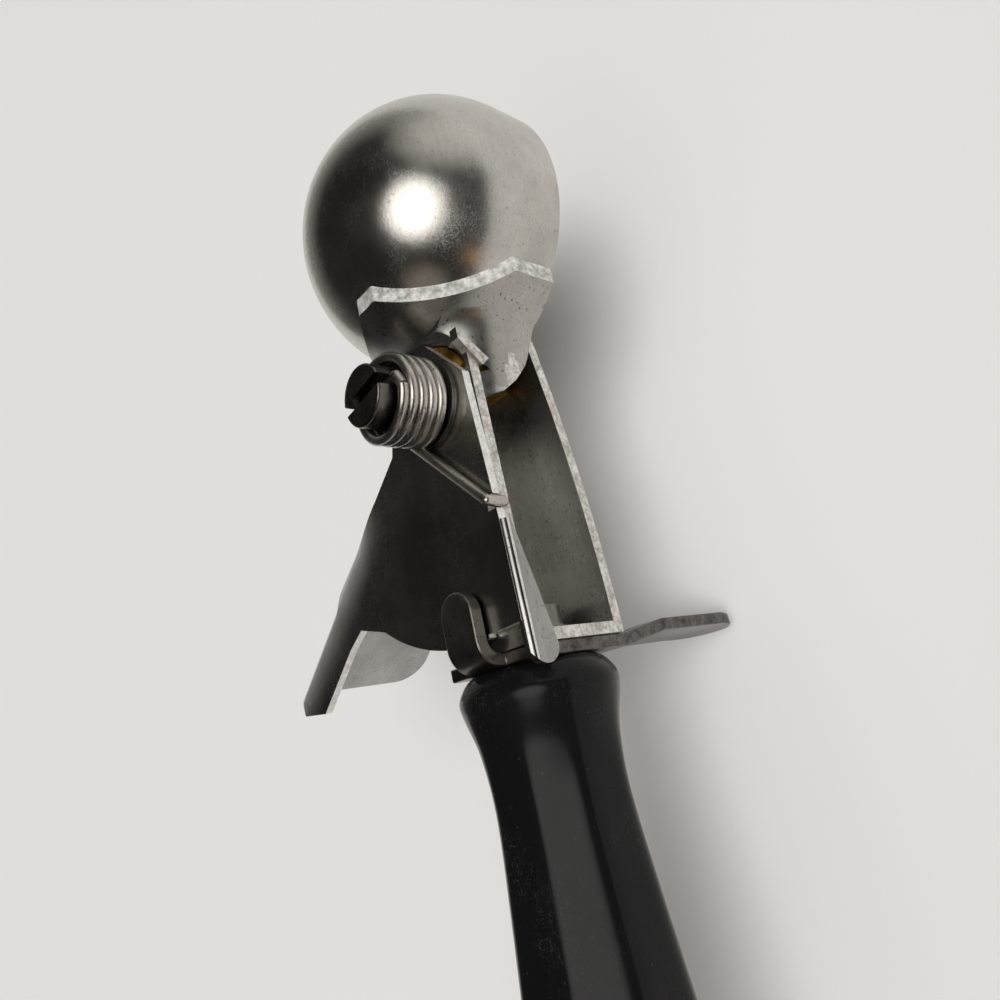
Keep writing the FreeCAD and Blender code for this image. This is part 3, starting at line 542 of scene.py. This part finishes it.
def rolled_arm(mesh):
    """Rolls the thumb lever's outer strip down towards its tab, as pressed sheet is."""
    turn = math.radians(TAB_ANGLE)
    along = Vector((math.cos(turn), math.sin(turn), 0))
    inward = Vector((-math.sin(turn), math.cos(turn), 0))
    pivot = Vector((PIVOT_X, 0, 0))
    work = bmesh.new()
    work.from_mesh(mesh)
    cuts = [(inward, ROLL_START - step * ROLL_STEP) for step in range(ROLL_CUTS)]
    cuts += [(along, ARM_START + step * ARM_STEP) for step in range(ARM_CUTS)]
    for direction, offset in cuts:
        everything = list(work.verts) + list(work.edges) + list(work.faces)
        bmesh.ops.bisect_plane(work, geom=everything, plane_co=pivot + direction * offset,
                               plane_no=direction, dist=CUT_SNAP)
    for vert in work.verts:
        place = vert.co - pivot
        reach = max(0.0, ROLL_START - place.dot(inward)) / ROLL_WIDTH
        share = min(1.0, max(0.0, (place.dot(along) - ARM_START) / ARM_FADE))
        vert.co.z -= ROLL_DROP * min(reach, 1.0) ** 2 * share * share * (3 - 2 * share)
    work.to_mesh(mesh)
    work.free()


# CAD nodes that keep their shape, by material
CAD_FINISHES = {
    "bowl": ["bowl"],
    "lever": ["sector_rivets"],
    "stud": ["pivot_stud", "stud_nut", "spring_washer", "tie_rod"],
    "brass": ["gear_sector", "pinion_shaft", "shaft_bush", "tail_bearing", "handle_insert"],
    "blade": ["scraper_blade", "front_rivet", "front_washer"],
    "guard": ["clamp_collar", "clamp_nut", "end_washer", "end_nut"],
}


def build_pieces(mat):
    lever_materials = [mat["lever"], mat["lever_edge_painted_highlight"]]
    rounded_copy("thumb_lever", "thumb_lever_plate", "lever", lever_materials,
                 lever_choice, 0.22 * MM, shape=rolled_arm)
    frame_materials = [mat["frame"], mat["edge"], mat["braze"], mat["channel"]]
    rounded_copy("shank_frame", "shank_frame_sheet", "frame", frame_materials,
                 frame_choice, 0.3 * MM)
    rounded_copy("finger_guard", "finger_guard_sheet", "frame",
                 [mat["guard"], mat["guard_edge"]], guard_choice, 0.35 * MM)
    make_spring(mat["wire"])
    make_grip(mat["grip"])
    for key, names in CAD_FINISHES.items():
        for node in names:
            assign(node, mat[key])


def make_floor():
    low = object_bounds()[0].z - FLOOR_GAP
    bpy.ops.mesh.primitive_plane_add(size=FLOOR_SIZE, location=(0, 0, low))
    floor = bpy.context.object
    floor.name = "floor"
    material, tree, shader = new_material("pale_floor")
    shader.inputs["Base Color"].default_value = FLOOR_COLOUR
    shader.inputs["Roughness"].default_value = 0.9
    shader.inputs["Specular IOR Level"].default_value = 0.1
    floor.data.materials.append(material)


def towards(azimuth, elevation):
    turn = math.radians(azimuth)
    rise = math.radians(elevation)
    return Vector((math.cos(rise) * math.cos(turn), math.cos(rise) * math.sin(turn),
                   math.sin(rise)))


def patch(tree, direction, place, inner, outer):
    """1 inside a round patch of the room, fading to 0 at its outer angle."""
    node = add(tree, "ShaderNodeVectorMath", operation="DOT_PRODUCT")
    tree.links.new(direction, node.inputs[0])
    node.inputs[1].default_value = towards(*place)
    return remap(tree, node.outputs["Value"], 0.0, 1.0,
                 math.cos(math.radians(outer)), math.cos(math.radians(inner)))


def make_world():
    """A dim room with a pale wall and soft patches; the camera itself sees a grey backdrop."""
    world = bpy.data.worlds.new("room")
    bpy.context.scene.world = world
    world.use_nodes = True
    tree = world.node_tree
    background = tree.nodes["Background"]
    place = add(tree, "ShaderNodeTexCoord").outputs["Generated"]
    split = add(tree, "ShaderNodeSeparateXYZ")
    tree.links.new(place, split.inputs["Vector"])
    low = remap(tree, split.outputs["Z"], 1.0, 0.0, *WALL_HEIGHT)
    side = patch(tree, place, *WALL)
    colour = mix_colour(tree, math_node(tree, "MULTIPLY", low, side), ROOM_DARK, ROOM_PALE)
    for where, inner, outer, tint in PATCHES:
        colour = mix_colour(tree, patch(tree, place, where, inner, outer), colour, tint)
    path = add(tree, "ShaderNodeLightPath")
    seen = mix_colour(tree, path.outputs["Is Camera Ray"], colour, BACKDROP)
    tree.links.new(seen, background.inputs["Color"])
    background.inputs["Strength"].default_value = 1.0


def make_lamp(name, place, strength, angle):
    data = bpy.data.lights.new(name, "SUN")
    data.energy = strength
    data.angle = math.radians(angle)
    lamp = bpy.data.objects.new(name, data)
    lamp.rotation_mode = "QUATERNION"
    lamp.rotation_quaternion = towards(*place).to_track_quat("Z", "Y")
    lamp.visible_glossy = False
    collection.objects.link(lamp)


def make_camera():
    back = CAMERA_BACK.normalized()
    right = CAMERA_UP.cross(back).normalized()
    up = back.cross(right)
    data = bpy.data.cameras.new("camera")
    data.sensor_width = SENSOR_MM
    data.lens = LENS_MM
    data.clip_start = CLIP_START
    camera = bpy.data.objects.new("camera", data)
    turn = Matrix((right, up, back)).transposed()
    camera.matrix_world = Matrix.Translation(CAMERA_PLACE) @ turn.to_4x4()
    collection.objects.link(camera)
    bpy.context.scene.camera = camera


def main():
    make_camera()
    build_pieces(make_materials())
    make_floor()
    make_world()
    make_lamp("key", KEY_PLACE, KEY_STRENGTH, KEY_ANGLE)
    make_lamp("fill", FILL_PLACE, FILL_STRENGTH, FILL_ANGLE)
    bpy.context.scene.view_settings.view_transform = "Standard"


main()
